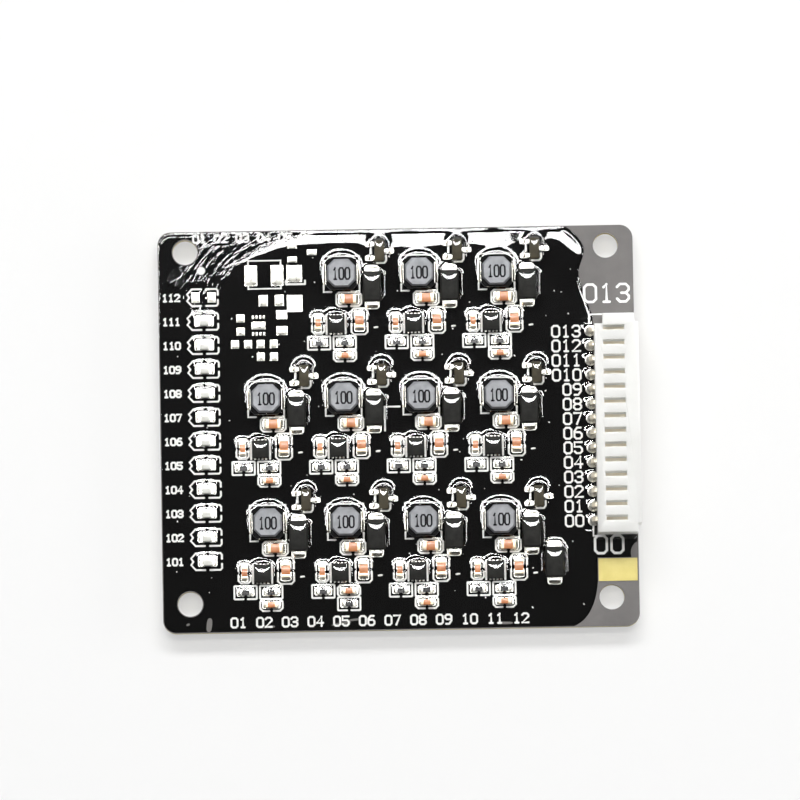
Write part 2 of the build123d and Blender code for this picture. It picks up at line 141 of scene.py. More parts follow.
# Lean of the pools on the parts in degrees, at the board's middle and its change towards the north
POOL_LEAN = 4.1
POOL_LEAN_CHANGE = 0.045 / MM
POOL_LIFT = 0.01 * MM

# Brushed arcs in the north-west corner: their centre, their inner and outer radius and their fineness
STREAK_CENTRE = (-12.2 * MM, 11.9 * MM)
STREAK_RADII = (13.4 * MM, 14.4 * MM, 19.5 * MM, 22.5 * MM)
STREAK_FINENESS = 1900
STREAK_LENGTH = 9
STREAK_SWEEP = (-0.1, 0.5, 1.35, 1.6)
STREAK_RELIEF = 0.075 * MM

# Camera, as the photograph was taken: high above the board, a little to the south
IMAGE_PIXELS = 800
PIXELS_PER_METRE = 7320
CAMERA_DISTANCE = 1.3
CAMERA_ELEVATION = 85
CAMERA_ROLL = 1.0
BOARD_MIDDLE_PIXEL = (398.2, 429.0)
SENSOR_WIDTH = 36

# Panels: elevation and azimuth in degrees, distance, width and height in metres, radiance, and whether
# they light more than gloss
PANELS = (
    ("north_panel", 48, 0, 1.1, 1.2, 0.22, 12, True),
    ("high_panel", 77, 0, 1.2, 1.1, 0.12, 9, True),
    ("north_gloss", 46, 0, 1.09, 1.3, 0.4, 17, False),
    ("high_gloss", 77, 0, 1.19, 1.1, 0.11, 22, False),
    ("low_gloss", 22, 0, 1.2, 1.6, 0.14, 24, False),
    ("west_gloss", 46, -60, 1.1, 0.8, 0.3, 16, False),
    ("east_gloss", 46, 60, 1.1, 0.8, 0.3, 16, False),
    ("east_panel", 16, 90, 1.1, 0.9, 0.25, 5.5, True),
)
ROOM_LIGHT = 0.14

board_low, board_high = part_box("circuit_board")
board_middle = (board_low + board_high) / 2
BOARD_TOP = board_high.z
INK_LEVEL = BOARD_TOP + INK_LIFT
SLOPE_FOOT = BOARD_TOP + LAND_HEIGHT * 0.9

# Stroke digits on a grid four wide and six high
STROKES = {
    "0": [[(1, 0), (0, 1), (0, 5), (1, 6), (3, 6), (4, 5), (4, 1), (3, 0), (1, 0)]],
    "1": [[(1, 5), (2, 6), (2, 0)], [(1, 0), (3, 0)]],
    "2": [[(0, 5), (1, 6), (3, 6), (4, 5), (4, 4), (0, 0), (4, 0)]],
    "3": [
        [(0, 5), (1, 6), (3, 6), (4, 5), (4, 4), (3, 3), (1.5, 3)],
        [(3, 3), (4, 2), (4, 1), (3, 0), (1, 0), (0, 1)],
    ],
    "4": [[(3, 0), (3, 6), (0, 2), (4, 2)]],
    "5": [[(4, 6), (0, 6), (0, 3.5), (3, 3.5), (4, 2.5), (4, 1), (3, 0), (1, 0), (0, 1)]],
    "6": [[(3.5, 6), (1.5, 6), (0, 4), (0, 1), (1, 0), (3, 0), (4, 1), (4, 2.5), (3, 3.5), (0, 3.5)]],
    "7": [[(0, 6), (4, 6), (1.5, 0)]],
    "8": [
        [(1, 3), (0, 4), (0, 5), (1, 6), (3, 6), (4, 5), (4, 4), (3, 3), (1, 3)],
        [(1, 3), (0, 2), (0, 1), (1, 0), (3, 0), (4, 1), (4, 2), (3, 3)],
    ],
    "9": [[(4, 3), (1, 3), (0, 4), (0, 5), (1, 6), (3, 6), (4, 5), (4, 2), (2.5, 0), (0.5, 0)]],
}
GLYPH_ADVANCE = 5.6
GLYPH_WIDTH = 4
GLYPH_HEIGHT = 6


def tone(red, green, blue):
    """Linear colour of a display colour from 0 to 255."""
    values = []
    for v in (red / 255, green / 255, blue / 255):
        values.append(v / 12.92 if v <= 0.04045 else ((v + 0.055) / 1.055) ** 2.4)
    return (*values, 1.0)


# Materials


def material_base(name):
    """New material with its nodes, its links, its shader and its texture coordinates."""
    material = bpy.data.materials.new(name)
    material.use_nodes = True
    nodes, links = material.node_tree.nodes, material.node_tree.links
    shader = nodes["Principled BSDF"]
    place = nodes.new("ShaderNodeTexCoord")
    return material, nodes, links, shader, place


def set_values(node, **values):
    """Plain values for a node's inputs. A space in an input's name is written as an underscore."""
    for label, value in values.items():
        node.inputs[label.replace("_", " ")].default_value = value
    return node


def calculate(nodes, links, operation, first, second=0):
    """Math node on two values, each a number or a socket."""
    node = nodes.new("ShaderNodeMath")
    node.operation = operation
    for socket, value in zip(node.inputs, (first, second)):
        if isinstance(value, (int, float)):
            socket.default_value = value
        else:
            links.new(value, socket)
    return node.outputs[0]


def spread(nodes, links, value, low, high, first=0.0, last=1.0, smooth=True):
    """Value spread out from first at low to last at high."""
    node = set_values(nodes.new("ShaderNodeMapRange"), From_Min=low, From_Max=high, To_Min=first, To_Max=last)
    node.interpolation_type = "SMOOTHSTEP" if smooth else "LINEAR"
    links.new(value, node.inputs["Value"])
    return node.outputs["Result"]


def noise_factor(nodes, links, place, scale, detail, low, high):
    """Noise on object coordinates, spread over the range from low to high."""
    texture = set_values(nodes.new("ShaderNodeTexNoise"), Scale=scale, Detail=detail)
    links.new(place.outputs["Object"], texture.inputs["Vector"])
    return spread(nodes, links, texture.outputs["Fac"], 0.3, 0.7, low, high, smooth=False)


def relief(nodes, links, height, strength, distance, under=None):
    """Normal of a fine relief, on top of another normal where one is given."""
    bump = set_values(nodes.new("ShaderNodeBump"), Strength=strength, Distance=distance)
    links.new(height, bump.inputs["Height"])
    if under is not None:
        links.new(under, bump.inputs["Normal"])
    return bump.outputs["Normal"]


def colour_mix(nodes, links, factor, first, second):
    """Colour between two colours, each a value or a socket."""
    mix = nodes.new("ShaderNodeMix")
    mix.data_type = "RGBA"
    links.new(factor, mix.inputs["Factor"])
    for socket, value in ((mix.inputs[6], first), (mix.inputs[7], second)):
        if isinstance(value, tuple):
            socket.default_value = value
        else:
            links.new(value, socket)
    return mix.outputs[2]


def shader_mix(nodes, links, share, first, second):
    """Two shaders mixed by a share and led to the material's surface."""
    mix = nodes.new("ShaderNodeMixShader")
    for n, socket in enumerate((share, first, second)):
        links.new(socket, mix.inputs[n])
    links.new(mix.outputs[0], nodes["Material Output"].inputs["Surface"])


def surface(name, dark, light, scale, rough, bump=0.0, grain=4000, metal=0.0, coat=0.0, gloss=0.5, depth=0.0):
    """Finish with cloudy colour between two display colours, uneven roughness and a fine relief."""
    material, nodes, links, shader, place = material_base(name)
    cloud = noise_factor(nodes, links, place, scale, 4, 0, 1)
    links.new(colour_mix(nodes, links, cloud, tone(*dark), tone(*light)), shader.inputs["Base Color"])
    links.new(noise_factor(nodes, links, place, scale * 2.3, 3, *rough), shader.inputs["Roughness"])
    set_values(shader, Metallic=metal, Specular_IOR_Level=gloss)
    set_values(shader, Coat_Weight=coat, Coat_Roughness=COAT_ROUGHNESS)
    if depth:
        set_values(shader, Subsurface_Weight=0.5, Subsurface_Radius=(1, 1, 1), Subsurface_Scale=depth)
    if bump:
        height = noise_factor(nodes, links, place, grain, 2, 0, 1)
        links.new(relief(nodes, links, height, bump, GRAIN_RELIEF), shader.inputs["Normal"])
    return material


def board_material():
    """Black mask painted grey on both faces, as painted sheen of its dry matte surface; pale glass laminate
    on the cut edges.
    """
    material, nodes, links, shader, place = material_base("sheen_painted_mask_and_laminate")
    form = nodes.new("ShaderNodeNewGeometry")
    normal = nodes.new("ShaderNodeSeparateXYZ")
    links.new(form.outputs["Normal"], normal.inputs[0])
    upright = calculate(nodes, links, "ABSOLUTE", normal.outputs["Z"])
    flat = calculate(nodes, links, "GREATER_THAN", upright, 0.5)
    cloud = noise_factor(nodes, links, place, 150, 5, 0, 1)
    # The mask's grey is painted sheen: the mask itself is black, as it shows under the film
    mask = colour_mix(nodes, links, cloud, tone(98, 95, 93), tone(116, 112, 110))
    layers = set_values(nodes.new("ShaderNodeTexWave"), Scale=900, Distortion=1.5)
    layers.bands_direction = "Z"
    links.new(place.outputs["Object"], layers.inputs["Vector"])
    laminate = colour_mix(nodes, links, layers.outputs["Fac"], tone(196, 182, 128), tone(226, 216, 176))
    links.new(colour_mix(nodes, links, flat, laminate, mask), shader.inputs["Base Color"])
    links.new(noise_factor(nodes, links, place, 3000, 3, 0.5, 0.66), shader.inputs["Roughness"])
    set_values(shader, Specular_IOR_Level=0.25)
    height = noise_factor(nodes, links, place, 9000, 2, 0, 1)
    links.new(relief(nodes, links, height, 0.25, GRAIN_RELIEF), shader.inputs["Normal"])
    return material


def streak_height(nodes, links, place):
    """Relief of fine arcs, brushed round one centre in the north-west corner."""
    work, fade = partial(calculate, nodes, links), partial(spread, nodes, links)
    parts = nodes.new("ShaderNodeSeparateXYZ")
    links.new(place.outputs["Object"], parts.inputs[0])
    west = work("SUBTRACT", STREAK_CENTRE[0], parts.outputs["X"])
    north = work("SUBTRACT", parts.outputs["Y"], STREAK_CENTRE[1])
    radius = work("POWER", work("ADD", work("MULTIPLY", west, west), work("MULTIPLY", north, north)), 0.5)
    angle = work("ARCTAN2", north, west)
    flat = nodes.new("ShaderNodeCombineXYZ")
    links.new(work("MULTIPLY", radius, STREAK_FINENESS), flat.inputs["X"])
    links.new(work("MULTIPLY", angle, STREAK_LENGTH), flat.inputs["Y"])
    texture = set_values(nodes.new("ShaderNodeTexNoise"), Scale=1, Detail=1.5)
    links.new(flat.outputs[0], texture.inputs["Vector"])
    shares = []
    for value, (inner, full, fading, outer) in ((radius, STREAK_RADII), (angle, STREAK_SWEEP)):
        shares.append(work("MULTIPLY", fade(value, inner, full), fade(value, fading, outer, 1, 0)))
    level = work("SUBTRACT", texture.outputs["Fac"], 0.5)
    return work("MULTIPLY", work("MULTIPLY", *shares), level)


def film_material():
    """Clear film: what lies under it shows through, and it mirrors by its angle."""
    material, nodes, links, shader, place = material_base("clear_film")
    nodes.remove(shader)
    through = set_values(nodes.new("ShaderNodeBsdfTransparent"), Color=(0.97, 0.97, 0.96, 1))
    mirror = set_values(nodes.new("ShaderNodeBsdfGlossy"), Color=(1, 1, 1, 1), Roughness=0.06)
    shine = set_values(nodes.new("ShaderNodeFresnel"), IOR=1.5)
    brushed = relief(nodes, links, streak_height(nodes, links, place), 1, STREAK_RELIEF)
    ripple = noise_factor(nodes, links, place, 500, 2, 0, 1)
    normal = relief(nodes, links, ripple, 0.1, RIPPLE_RELIEF, brushed)
    for node in (mirror, shine):
        links.new(normal, node.inputs["Normal"])
    # Light on its way out of the film isn't mirrored back in
    form = nodes.new("ShaderNodeNewGeometry")
    outward = calculate(nodes, links, "SUBTRACT", 1, form.outputs["Backfacing"])
    share = calculate(nodes, links, "MULTIPLY", shine.outputs[0], outward)
    shader_mix(nodes, links, share, through.outputs[0], mirror.outputs[0])
    return material


def floor_material():
    """Pale floor that the camera sees close to white, with its shadows kept."""
    material, nodes, links, shader, place = material_base("pale_floor")
    set_values(shader, Base_Color=tone(246, 246, 245), Roughness=0.8)
    white = set_values(nodes.new("ShaderNodeEmission"), Strength=0.98)
    ray = nodes.new("ShaderNodeLightPath")
    share = calculate(nodes, links, "MULTIPLY", ray.outputs["Is Camera Ray"], 0.5)
    shader_mix(nodes, links, share, shader.outputs[0], white.outputs[0])
    return material


# For each finish: its darker and lighter colour, the scale of its clouds, its roughness and its relief
MATERIALS = {
    "board": board_material(),
    "film": film_material(),
    "wet_mask": surface("wet_black_mask", (5, 5, 5), (9, 9, 9), 220, (0.6, 0.75), 0.1, 2500, gloss=0),
    "ink": surface("white_print", (240, 240, 238), (250, 250, 248), 900, (0.4, 0.55), 0.2, 9000),
    "marking": surface("dark_marking", (14, 12, 15), (26, 23, 27), 900, (0.5, 0.6), gloss=0.04),
    "tin": surface("bright_tin", (205, 204, 198), (240, 239, 233), 1400, (0.2, 0.45), 0.6, 3500, 0.75),
    "gold": surface(
        "pale_gold", (176, 162, 90), (194, 181, 110), 260, (0.45, 0.6), 0.2, 5000, 0.2, gloss=0.3
    ),
    "solder": surface("solder", (196, 194, 186), (236, 234, 226), 1100, (0.2, 0.42), 0.5, 2200, 0.6),
    # Slopes of solder: base a little darker than the flat solder as painted shade; more metal and less
    # roughness mirror the dim room
    "slope": surface("shaded_solder_slope", (186, 182, 170), (226, 222, 210), 1500, (0.12, 0.3), 0.4, 2600, 0.85),
    "end_plate": surface("end_plate", (228, 206, 172), (246, 230, 204), 1400, (0.25, 0.45), 0.4, 3500, 0.5),
    "housing": surface(
        "white_nylon", (232, 232, 228), (238, 238, 235), 200, (0.4, 0.5), 0.15, gloss=0.3, depth=1.5 * MM
    ),
    # Pins: tin, painted paler than the board's tin as painted light, so the shaded windows of the header look
    # lit
    "pin_metal": surface("tinned_pin_with_painted_light", (244, 232, 208), (250, 244, 228), 800, (0.3, 0.4), 0.1, 3000, 0.2),
    "ferrite": surface("grey_core", (106, 108, 112), (132, 134, 138), 700, (0.35, 0.5), 0.4, 5000, 0.1, 0.15),
    "resin": surface("black_resin", (10, 10, 10), (18, 18, 18), 700, (0.35, 0.5), 0.4, 3000, gloss=0.03),
    "copper_wire": surface("enamelled_wire", (122, 66, 34), (150, 84, 44), 900, (0.3, 0.4), 0.2),
    "black_mould": surface(
        "black_mould", (30, 30, 28), (42, 42, 39), 900, (0.55, 0.7), 0.5, 7000, gloss=0.06
    ),
    "brown_mould": surface(
        "brown_mould", (62, 57, 44), (80, 74, 58), 700, (0.5, 0.65), 0.5, 7000, gloss=0.08
    ),
    "ceramic": surface("tan_ceramic", (194, 112, 54), (220, 140, 80), 900, (0.35, 0.5), 0.3, 6000, coat=0.3),
    "resistor_glaze": surface(
        "black_glaze", (18, 18, 20), (34, 34, 38), 1200, (0.2, 0.3), 0.1, 3000, coat=0.5
    ),
    "light_base": surface("white_laminate", (220, 220, 212), (236, 236, 230), 800, (0.4, 0.5), 0.2),
    "light_lens": surface(
        "milky_lens", (236, 236, 226), (248, 248, 242), 800, (0.15, 0.25), 0.1, 3000, coat=0.6
    ),
}


def new_object(name, data):
    """Object at the origin, linked into the scene."""
    thing = bpy.data.objects.new(name, data)
    bpy.context.scene.collection.objects.link(thing)
    return thing


def mesh_piece(name, mesh):
    """A finished piece in the frame: mesh in place, object at the origin."""
    piece = new_object(name, mesh)
    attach(piece, "root")
    return piece


def mesh_of(name, verts, faces, smooth=True):
    """Mesh from its points and faces, shaded smooth or flat."""
    mesh = bpy.data.meshes.new(name)
    mesh.from_pydata(verts, [], faces)
    mesh.polygons.foreach_set("use_smooth", [smooth] * len(mesh.polygons))
    return mesh


def baked_mesh(thing):
    """Plain mesh of an object with its modifiers carried out, then the object is removed."""
    bpy.context.view_layer.update()
    graph = bpy.context.evaluated_depsgraph_get()
    mesh = bpy.data.meshes.new_from_object(thing.evaluated_get(graph), depsgraph=graph)
    for modifier in list(thing.modifiers):
        thing.modifiers.remove(modifier)
    bpy.data.objects.remove(thing)
    return mesh


def merged_copy(node):
    """Copy of a solid's mesh for editing, its loose triangles joined up."""
    bm = bmesh.new()
    bm.from_mesh(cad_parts[node].data)
    bmesh.ops.remove_doubles(bm, verts=bm.verts, dist=MERGE_DISTANCE)
    return bm


def turn_faces_up(bm):
    """Every face of a flat sheet turned to look up."""
    for face in bm.faces:
        face.normal_update()
        if face.normal.z < 0:
            face.normal_flip()


def islands(node):
    """Lowest and highest corner of each separate solid of a node."""
    bm = merged_copy(node)
    seen, boxes = set(), []
    for start in bm.verts:
        if start in seen:
            continue
        seen.add(start)
        group, edge = [start], [start]
        while edge:
            vert = edge.pop()
            for link in vert.link_edges:
                other = link.other_vert(vert)
                if other not in seen:
                    seen.add(other)
                    group.append(other)
                    edge.append(other)
        points = np.array([v.co for v in group])
        boxes.append((Vector(points.min(0)), Vector(points.max(0))))
    bm.free()
    return boxes


def middle(box):
    return (box[0] + box[1]) / 2


def nearest_middle(boxes, place):
    """Middle of the box that lies nearest to a place."""
    return min((middle(box) for box in boxes), key=lambda p: (p - place).length)


def node_names(stem):
    """Names of the solids that start alike, in order."""
    return sorted(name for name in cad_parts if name.startswith(stem))


def soften(node, width, slot, segments=2, finish=None):
    """Copy of a solid with its edges rounded, in place of the plain one."""
    bm = merged_copy(node)
    bmesh.ops.dissolve_limit(bm, angle_limit=JOIN_ANGLE, verts=bm.verts, edges=bm.edges)
    mesh = bpy.data.meshes.new(node + "_finished")
    bm.to_mesh(mesh)
    bm.free()
    draft = new_object("draft", mesh)
    rounding = draft.modifiers.new("edges", "BEVEL")
    rounding.width = width
    rounding.segments = segments
    rounding.limit_method = "ANGLE"
    rounding.angle_limit = ROUND_ANGLE
    result = baked_mesh(draft)
    result.name = node + "_finished"
    result.polygons.foreach_set("use_smooth", [True] * len(result.polygons))
    result.set_sharp_from_angle(angle=SHARP_ANGLE)
    result.materials.clear()
    result.materials.append(MATERIALS[finish or slot])
    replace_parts(mesh_piece(node + "_finished", result), node)


# Print, laid down as strokes of ink


def node_group(name, inputs):
    """New tree of geometry nodes with its named inputs, its entry and its exit."""
    group = bpy.data.node_groups.new(name, "GeometryNodeTree")
    for way in ("INPUT", "OUTPUT"):
        group.interface.new_socket("Geometry", in_out=way, socket_type="NodeSocketGeometry")
    for label, kind in inputs:
        group.interface.new_socket(label, in_out="INPUT", socket_type=kind)
    entry = group.nodes.new("NodeGroupInput")
    leave = group.nodes.new("NodeGroupOutput")
    return group, entry, leave


def finish_tree(nodes, links, geometry, material, leave):
    """Last steps of a tree: instances made real and given their material."""
    real = nodes.new("GeometryNodeRealizeInstances")
    links.new(geometry, real.inputs[0])
    paint = nodes.new("GeometryNodeSetMaterial")
    links.new(real.outputs[0], paint.inputs["Geometry"])
    links.new(material, paint.inputs["Material"])
    links.new(paint.outputs[0], leave.inputs[0])


def grown(draft, tree, **values):
    """Mesh that a tree makes of a draft object, with values for the tree's own inputs."""
    modifier = draft.modifiers.new(tree.name, "NODES")
    modifier.node_group = tree
    for item in tree.interface.items_tree:
        if item.item_type == "SOCKET" and item.in_out == "INPUT" and item.name in values:
            modifier[item.identifier] = values[item.name]
    return baked_mesh(draft)


def ink_tree():
    """Flat ribbon along each stroke, with a round dot at every point of it."""
    group, entry, leave = node_group(
        "ink_strokes", [("Width", "NodeSocketFloat"), ("Ink", "NodeSocketMaterial")]
    )
    nodes, links = group.nodes, group.links
    level = nodes.new("GeometryNodeSetCurveNormal")
    level.mode = "Z_UP"
    links.new(entry.outputs["Geometry"], level.inputs["Curve"])
    half = calculate(nodes, links, "MULTIPLY", entry.outputs["Width"], 0.5)
    other = calculate(nodes, links, "MULTIPLY", entry.outputs["Width"], -0.5)
    line = nodes.new("GeometryNodeCurvePrimitiveLine")
    for value, socket in ((other, "Start"), (half, "End")):
        point = nodes.new("ShaderNodeCombineXYZ")
        links.new(value, point.inputs["X"])
        links.new(point.outputs[0], line.inputs[socket])
    ribbon = nodes.new("GeometryNodeCurveToMesh")
    links.new(level.outputs["Curve"], ribbon.inputs["Curve"])
    links.new(line.outputs["Curve"], ribbon.inputs["Profile Curve"])
    dot = set_values(nodes.new("GeometryNodeMeshCircle"), Vertices=10)
    dot.fill_type = "NGON"
    links.new(half, dot.inputs["Radius"])
    points = nodes.new("GeometryNodeCurveToPoints")
    points.mode = "EVALUATED"
    links.new(entry.outputs["Geometry"], points.inputs["Curve"])
    lifted = set_values(nodes.new("GeometryNodeSetPosition"), Offset=(0, 0, INK_DOT_LIFT))
    links.new(points.outputs["Points"], lifted.inputs["Geometry"])
    dots = nodes.new("GeometryNodeInstanceOnPoints")
    links.new(lifted.outputs["Geometry"], dots.inputs["Points"])
    links.new(dot.outputs["Mesh"], dots.inputs["Instance"])
    join = nodes.new("GeometryNodeJoinGeometry")
    links.new(ribbon.outputs["Mesh"], join.inputs[0])
    links.new(dots.outputs["Instances"], join.inputs[0])
    finish_tree(nodes, links, join.outputs[0], entry.outputs["Ink"], leave)
    return group


INK_TREE = ink_tree()


def ink_piece(name, strokes, width, material):
    """One printed piece from strokes. Each point lies in a layer of its own, so no two faces coincide."""
    curve = bpy.data.curves.new(name, "CURVE")
    curve.dimensions = "3D"
    count = 0
    for stroke in strokes:
        spline = curve.splines.new("POLY")
        spline.points.add(len(stroke) - 1)
        for point, (x, y, z) in zip(spline.points, stroke):
            point.co = (x, y, z + INK_LAYER * (count % INK_LAYERS), 1)
            count += 1
    mesh = grown(new_object(name, curve), INK_TREE, Width=width, Ink=MATERIALS[material])
    bm = bmesh.new()
    bm.from_mesh(mesh)
    turn_faces_up(bm)
    bm.to_mesh(mesh)
    bm.free()
    mesh_piece(name, mesh)


def written(text, size, x, y, z, align=0.0, squeeze=1.0):
    """Strokes of a number. size is the digits' height and align the share of its length left of x."""
    rise = size / GLYPH_HEIGHT
    unit = rise * squeeze
    length = (len(text) - 1) * GLYPH_ADVANCE * unit + GLYPH_WIDTH * unit
    strokes = []
    for n, glyph in enumerate(text):
        start = x - align * length + n * GLYPH_ADVANCE * unit
        for stroke in STROKES.get(glyph, []):
            strokes.append([(start + a * unit, y + (b - GLYPH_HEIGHT / 2) * rise, z) for a, b in stroke])
    return strokes


def bracket(x, y, length, width, corner):
    """North and south halves of an upright part's outline, open in the middle of its long sides."""
    gap, half, side = OUTLINE_GAP / 2, length / 2, width / 2
    corners = [
        (-side, gap), (-side, half - corner), (corner - side, half),
        (side - corner, half), (side, half - corner), (side, gap),
    ]
    return [[(x + a, y + way * b, INK_LEVEL) for a, b in corners] for way in (-1, 1)]


def frame_strokes(x, y, length, width, corner):
    """Outline of a part that lies along X, open in the middle of its south side."""
    gap, half, side = OUTLINE_GAP / 2, length / 2, width / 2
    corners = [
        (-gap, -side), (corner - half, -side), (-half, corner - side), (-half, side - corner),
        (corner - half, side), (half - corner, side), (half, side - corner), (half, corner - side),
        (half - corner, -side), (gap, -side),
    ]
    return [[(x + a, y + b, INK_LEVEL) for a, b in corners]]


# Places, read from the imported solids

inductors = [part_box(name) for name in node_names("inductor_core_")]
diodes = [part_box(name) for name in node_names("diode_") if name != "diode_leads"]
converters = [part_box(name) for name in node_names("converter_chip_")]
transistors = islands("transistors")
large_capacitors = islands("large_capacitors")
small_capacitors = islands("small_capacitors")
resistors = islands("chip_resistors")
lights = islands("light_bases")
capacitor_ends = islands("capacitor_ends")
resistor_ends = islands("resistor_ends")
light_ends = islands("light_ends")
diode_leads = islands("diode_leads")
transistor_leads = islands("transistor_leads")
inductor_terminals = islands("inductor_terminals")
converter_leads = islands("converter_leads")
joints = islands("solder_joints")
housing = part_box("connector_housing")


# Copies of one shape, laid on points by their own turn and size


def copies_tree():
    """Copies of a shape on points, each with the turn and the size stored on its point."""
    group, entry, leave = node_group(
        "placed_copies", [("Shape", "NodeSocketObject"), ("Finish", "NodeSocketMaterial")]
    )
    nodes, links = group.nodes, group.links
    shape = nodes.new("GeometryNodeObjectInfo")
    links.new(entry.outputs["Shape"], shape.inputs["Object"])
    spots = nodes.new("GeometryNodeInstanceOnPoints")
    links.new(entry.outputs["Geometry"], spots.inputs["Points"])
    links.new(shape.outputs["Geometry"], spots.inputs["Instance"])
    for label, socket in (("turn", "Rotation"), ("stretch", "Scale")):
        named = set_values(nodes.new("GeometryNodeInputNamedAttribute"), Name=label)
        named.data_type = "FLOAT_VECTOR"
        links.new(named.outputs["Attribute"], spots.inputs[socket])
    finish_tree(nodes, links, spots.outputs[0], entry.outputs["Finish"], leave)
    return group


COPIES_TREE = copies_tree()


def copies_piece(name, shape_mesh, spots, material):
    """One piece of copies of a mesh. Each spot is a place, a turn about Z and a size."""
    shape = new_object("shape", shape_mesh)
    mesh = bpy.data.meshes.new(name)
    mesh.from_pydata([place for place, turn, size in spots], [], [])
    turns = mesh.attributes.new("turn", "FLOAT_VECTOR", "POINT")
    sizes = mesh.attributes.new("stretch", "FLOAT_VECTOR", "POINT")
    for n, (place, turn, size) in enumerate(spots):
        turns.data[n].vector = (0, 0, turn)
        sizes.data[n].vector = size
    result = grown(new_object(name, mesh), COPIES_TREE, Shape=shape, Finish=MATERIALS[material])
    bpy.data.objects.remove(shape)
    result.name = name
    return mesh_piece(name, result)


def round_square(angle, power):
    """Distance from the middle to the rim of a square two units wide, rounder for a lower power."""
    return 1 / (abs(math.cos(angle)) ** power + abs(math.sin(angle)) ** power) ** (1 / power)


def ring_shape(name, rings, sides, rule, shift=0.0, inward=False, smooth=True):
    """Shape of closed rings, where the rule gives reach and height at a share of the way and an angle.

    Rings that go inward end in a flat face, and those that go outward leave the underside open."""
    verts = []
    for r in range(rings):
        for n in range(sides):
            a = 2 * math.pi * (n + shift) / sides
            reach, height = rule(r / (rings - 1), a)
            verts.append((reach * math.cos(a), reach * math.sin(a), height))
    faces = [tuple(range((rings - 1) * sides, rings * sides))] if inward else []
    for a in range(0, (rings - 1) * sides, sides):
        for n in range(sides):
            m = (n + 1) % sides
            corners = (a + n, a + m, a + sides + m, a + sides + n)
            faces.append(corners if inward else (corners[0], *corners[:0:-1]))
    return mesh_of(name, verts, faces, smooth)


def grid_faces(rows, columns):
    """Faces between the points of a grid, row by row."""
    starts = [i * columns + j for i in range(rows - 1) for j in range(columns - 1)]
    return [(a, a + columns, a + columns + 1, a + 1) for a in starts]


def land_shape():
    """Land one unit long and wide, its corners rounded and its rim sloping out."""
    rings = ((0.5, 0.0), (0.4925, 0.7), (0.47, 1.0))

    def rule(t, a):
        reach, height = rings[round(t * 2)]
        return reach * round_square(a, 8), height

    return ring_shape("land", 3, 24, rule, shift=0.5, inward=True, smooth=False)


def cone_shape():
    """Hollow-sided cone of solder with a foot radius and a height of one."""
    def rule(t, a):
        return 1 - 0.72 * t, 0.55 * t ** 1.7 + 0.45 * t ** 3

    return ring_shape("cone", 9, 28, rule, inward=True)


def bead_shape(across, around):
    """Low bead, flat underneath, that takes its length and width from its size."""
    def rule(t, a):
        return math.sin(t * math.pi / 2) * round_square(a, 3), math.cos(t * math.pi / 2) ** 0.8

    return ring_shape("bead", across, around, rule)


def cushion_shape():
    """Rounded square cushion, flat underneath."""
    def rule(t, a):
        return t * (1 + (round_square(a, 7) - 1) * t), (1 - t ** 3) ** 0.7

    return ring_shape("cushion", 8, 28, rule, shift=0.5)


def fillet_shape(rows=7, columns=9):
    """Hollow slope of solder, from the full height at x = 0 down to the land at x = 1."""
    verts = []
    for i in range(rows):
        u = i / (rows - 1)
        for j in range(columns):
            v = 2 * j / (columns - 1) - 1
            verts.append((u * (1 - 0.16 * v * v), 0.5 * v, (1 - u) ** 2.1 * (1 - 0.75 * abs(v) ** 4)))
    return mesh_of("fillet", verts, grid_faces(rows, columns))


def pool_shape(columns=21):
    """Half-round pool of film: level in the north, then rising to a curved rim that drops steeply."""
    profile = [(0, 0), (0.5, 0), (0.6, 0.1), (0.75, 0.25), (0.9, 0.4), (1, 0.5), (1.04, 0)]
    verts = []
    for v, height in profile:
        for j in range(columns):
            x = -math.cos(math.pi * j / (columns - 1))
            reach = math.sqrt(max(1 - x * x, 0))
            verts.append((x * max(v, 1), -v * reach, height * reach))
    mesh = mesh_of("pool", verts, grid_faces(len(profile), columns))
    flat_strips = (0, len(profile) - 2)
    smooth = [n // (columns - 1) not in flat_strips for n in range(len(mesh.polygons))]
    mesh.polygons.foreach_set("use_smooth", smooth)
    mesh.set_sharp_from_angle(angle=math.radians(20))
    return mesh


def build_end_lands():
    """Lands and slopes of solder at the end caps of the chip parts."""
    lands, slopes = [], []
    # Reach of the slope, margin at the sides, share of the height that it climbs and reach under the part
    for ends, reach, side, climb, inward in (
        (capacitor_ends, 0.46, 0.12, 0.75, 0.42),
        (resistor_ends, 0.42, 0.14, 0.8, 0.34),
        (light_ends, 0.34, 0.1, 0.8, 0.3),
    ):
        reach, side, inward = reach * MM, side * MM, inward * MM
        for low, high in ends:
            centre = (low + high) / 2
            others = [end for end in ends if (middle(end) - centre).length > 0.1 * MM]
            way = centre - nearest_middle(others, centre)
            along = 0 if abs(way.x) > abs(way.y) else 1
            sign = math.copysign(1, way[along])
            length, width = (high - low)[along], (high - low)[1 - along]
            out = Vector((0, 0, 0))
            out[along] = sign
            face = centre + out * length / 2
            land_length = length + reach + inward
            spot = face + out * (reach - land_length / 2)
            turn = math.atan2(out.y, out.x)
            lands.append(((spot.x, spot.y, BOARD_TOP), turn, (land_length, width + 2 * side, LAND_HEIGHT)))
            size = (reach * 0.75, width, (high.z - BOARD_TOP) * climb)
            slopes.append(((face.x, face.y, SLOPE_FOOT), turn, size))
    return lands, slopes


